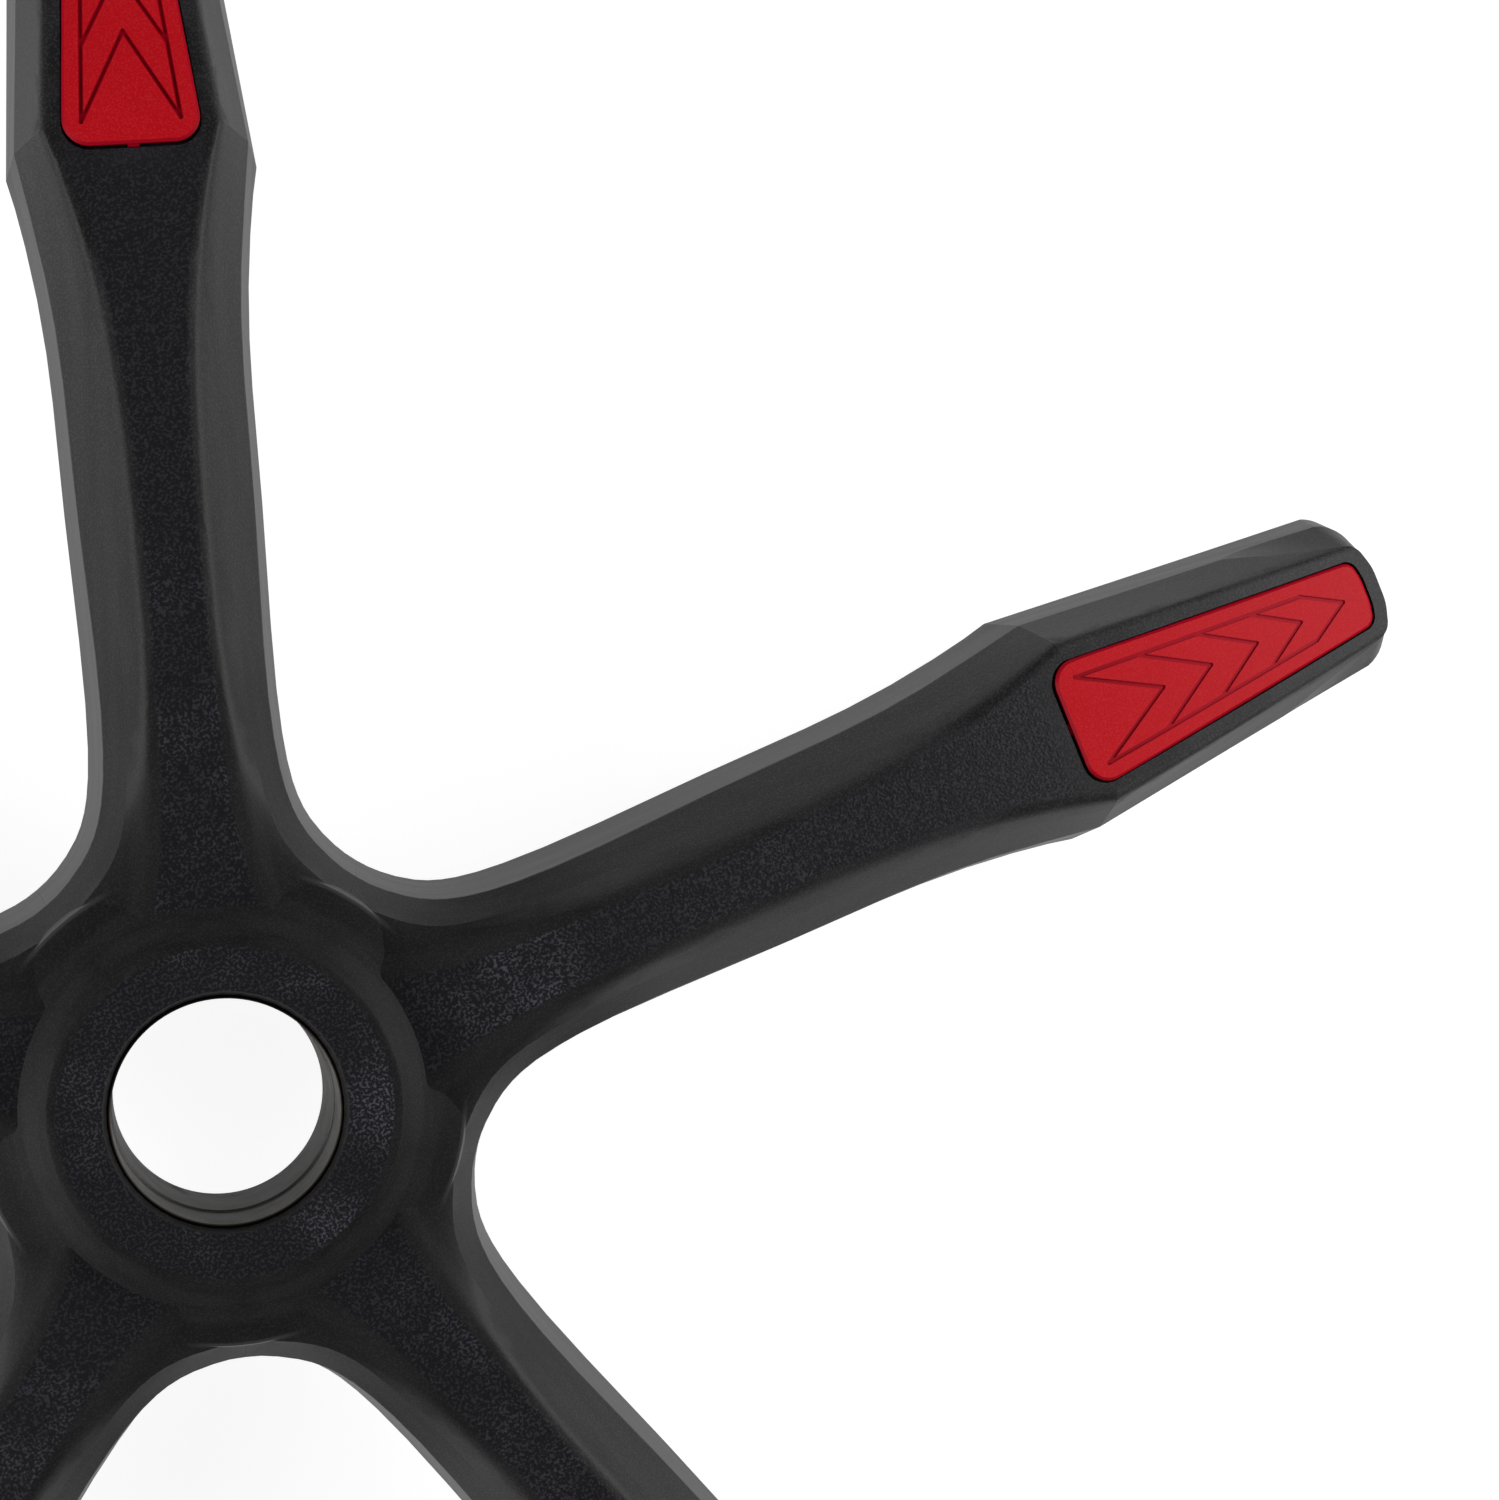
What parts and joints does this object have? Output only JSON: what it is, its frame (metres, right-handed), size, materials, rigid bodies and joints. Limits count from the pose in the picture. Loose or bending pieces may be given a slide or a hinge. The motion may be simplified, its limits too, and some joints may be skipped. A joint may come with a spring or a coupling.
{
  "type": "office chair star base",
  "caption": "Star-shaped swivel chair base with arched, ribbed arms, a steel-lined hub for the gas lift column and chevron inlays above the caster sockets.",
  "frame": {"origin": "on the hub's axis, level with the flat top ring round its mouth", "axes": "+Z along the hub's axis, away from the floor; +X along the middle of the first arm"},
  "size_m": [0.5843, 0.6118, 0.0766],
  "materials": {
    "black_nylon": "fine grain on top, smooth chamfers",
    "sleeve_steel": "drawn tube, plain",
    "red_plastic": "satin, engraved chevrons"
  },
  "bodies": {
    "root": {"star_base": "black_nylon", "hub_sleeve": "sleeve_steel", "foot_inlay_1": "red_plastic", "foot_inlay_2": "red_plastic", "foot_inlay_3": "red_plastic", "foot_inlay_4": "red_plastic", "foot_inlay_5": "red_plastic"}
  },
  "joints": []
}
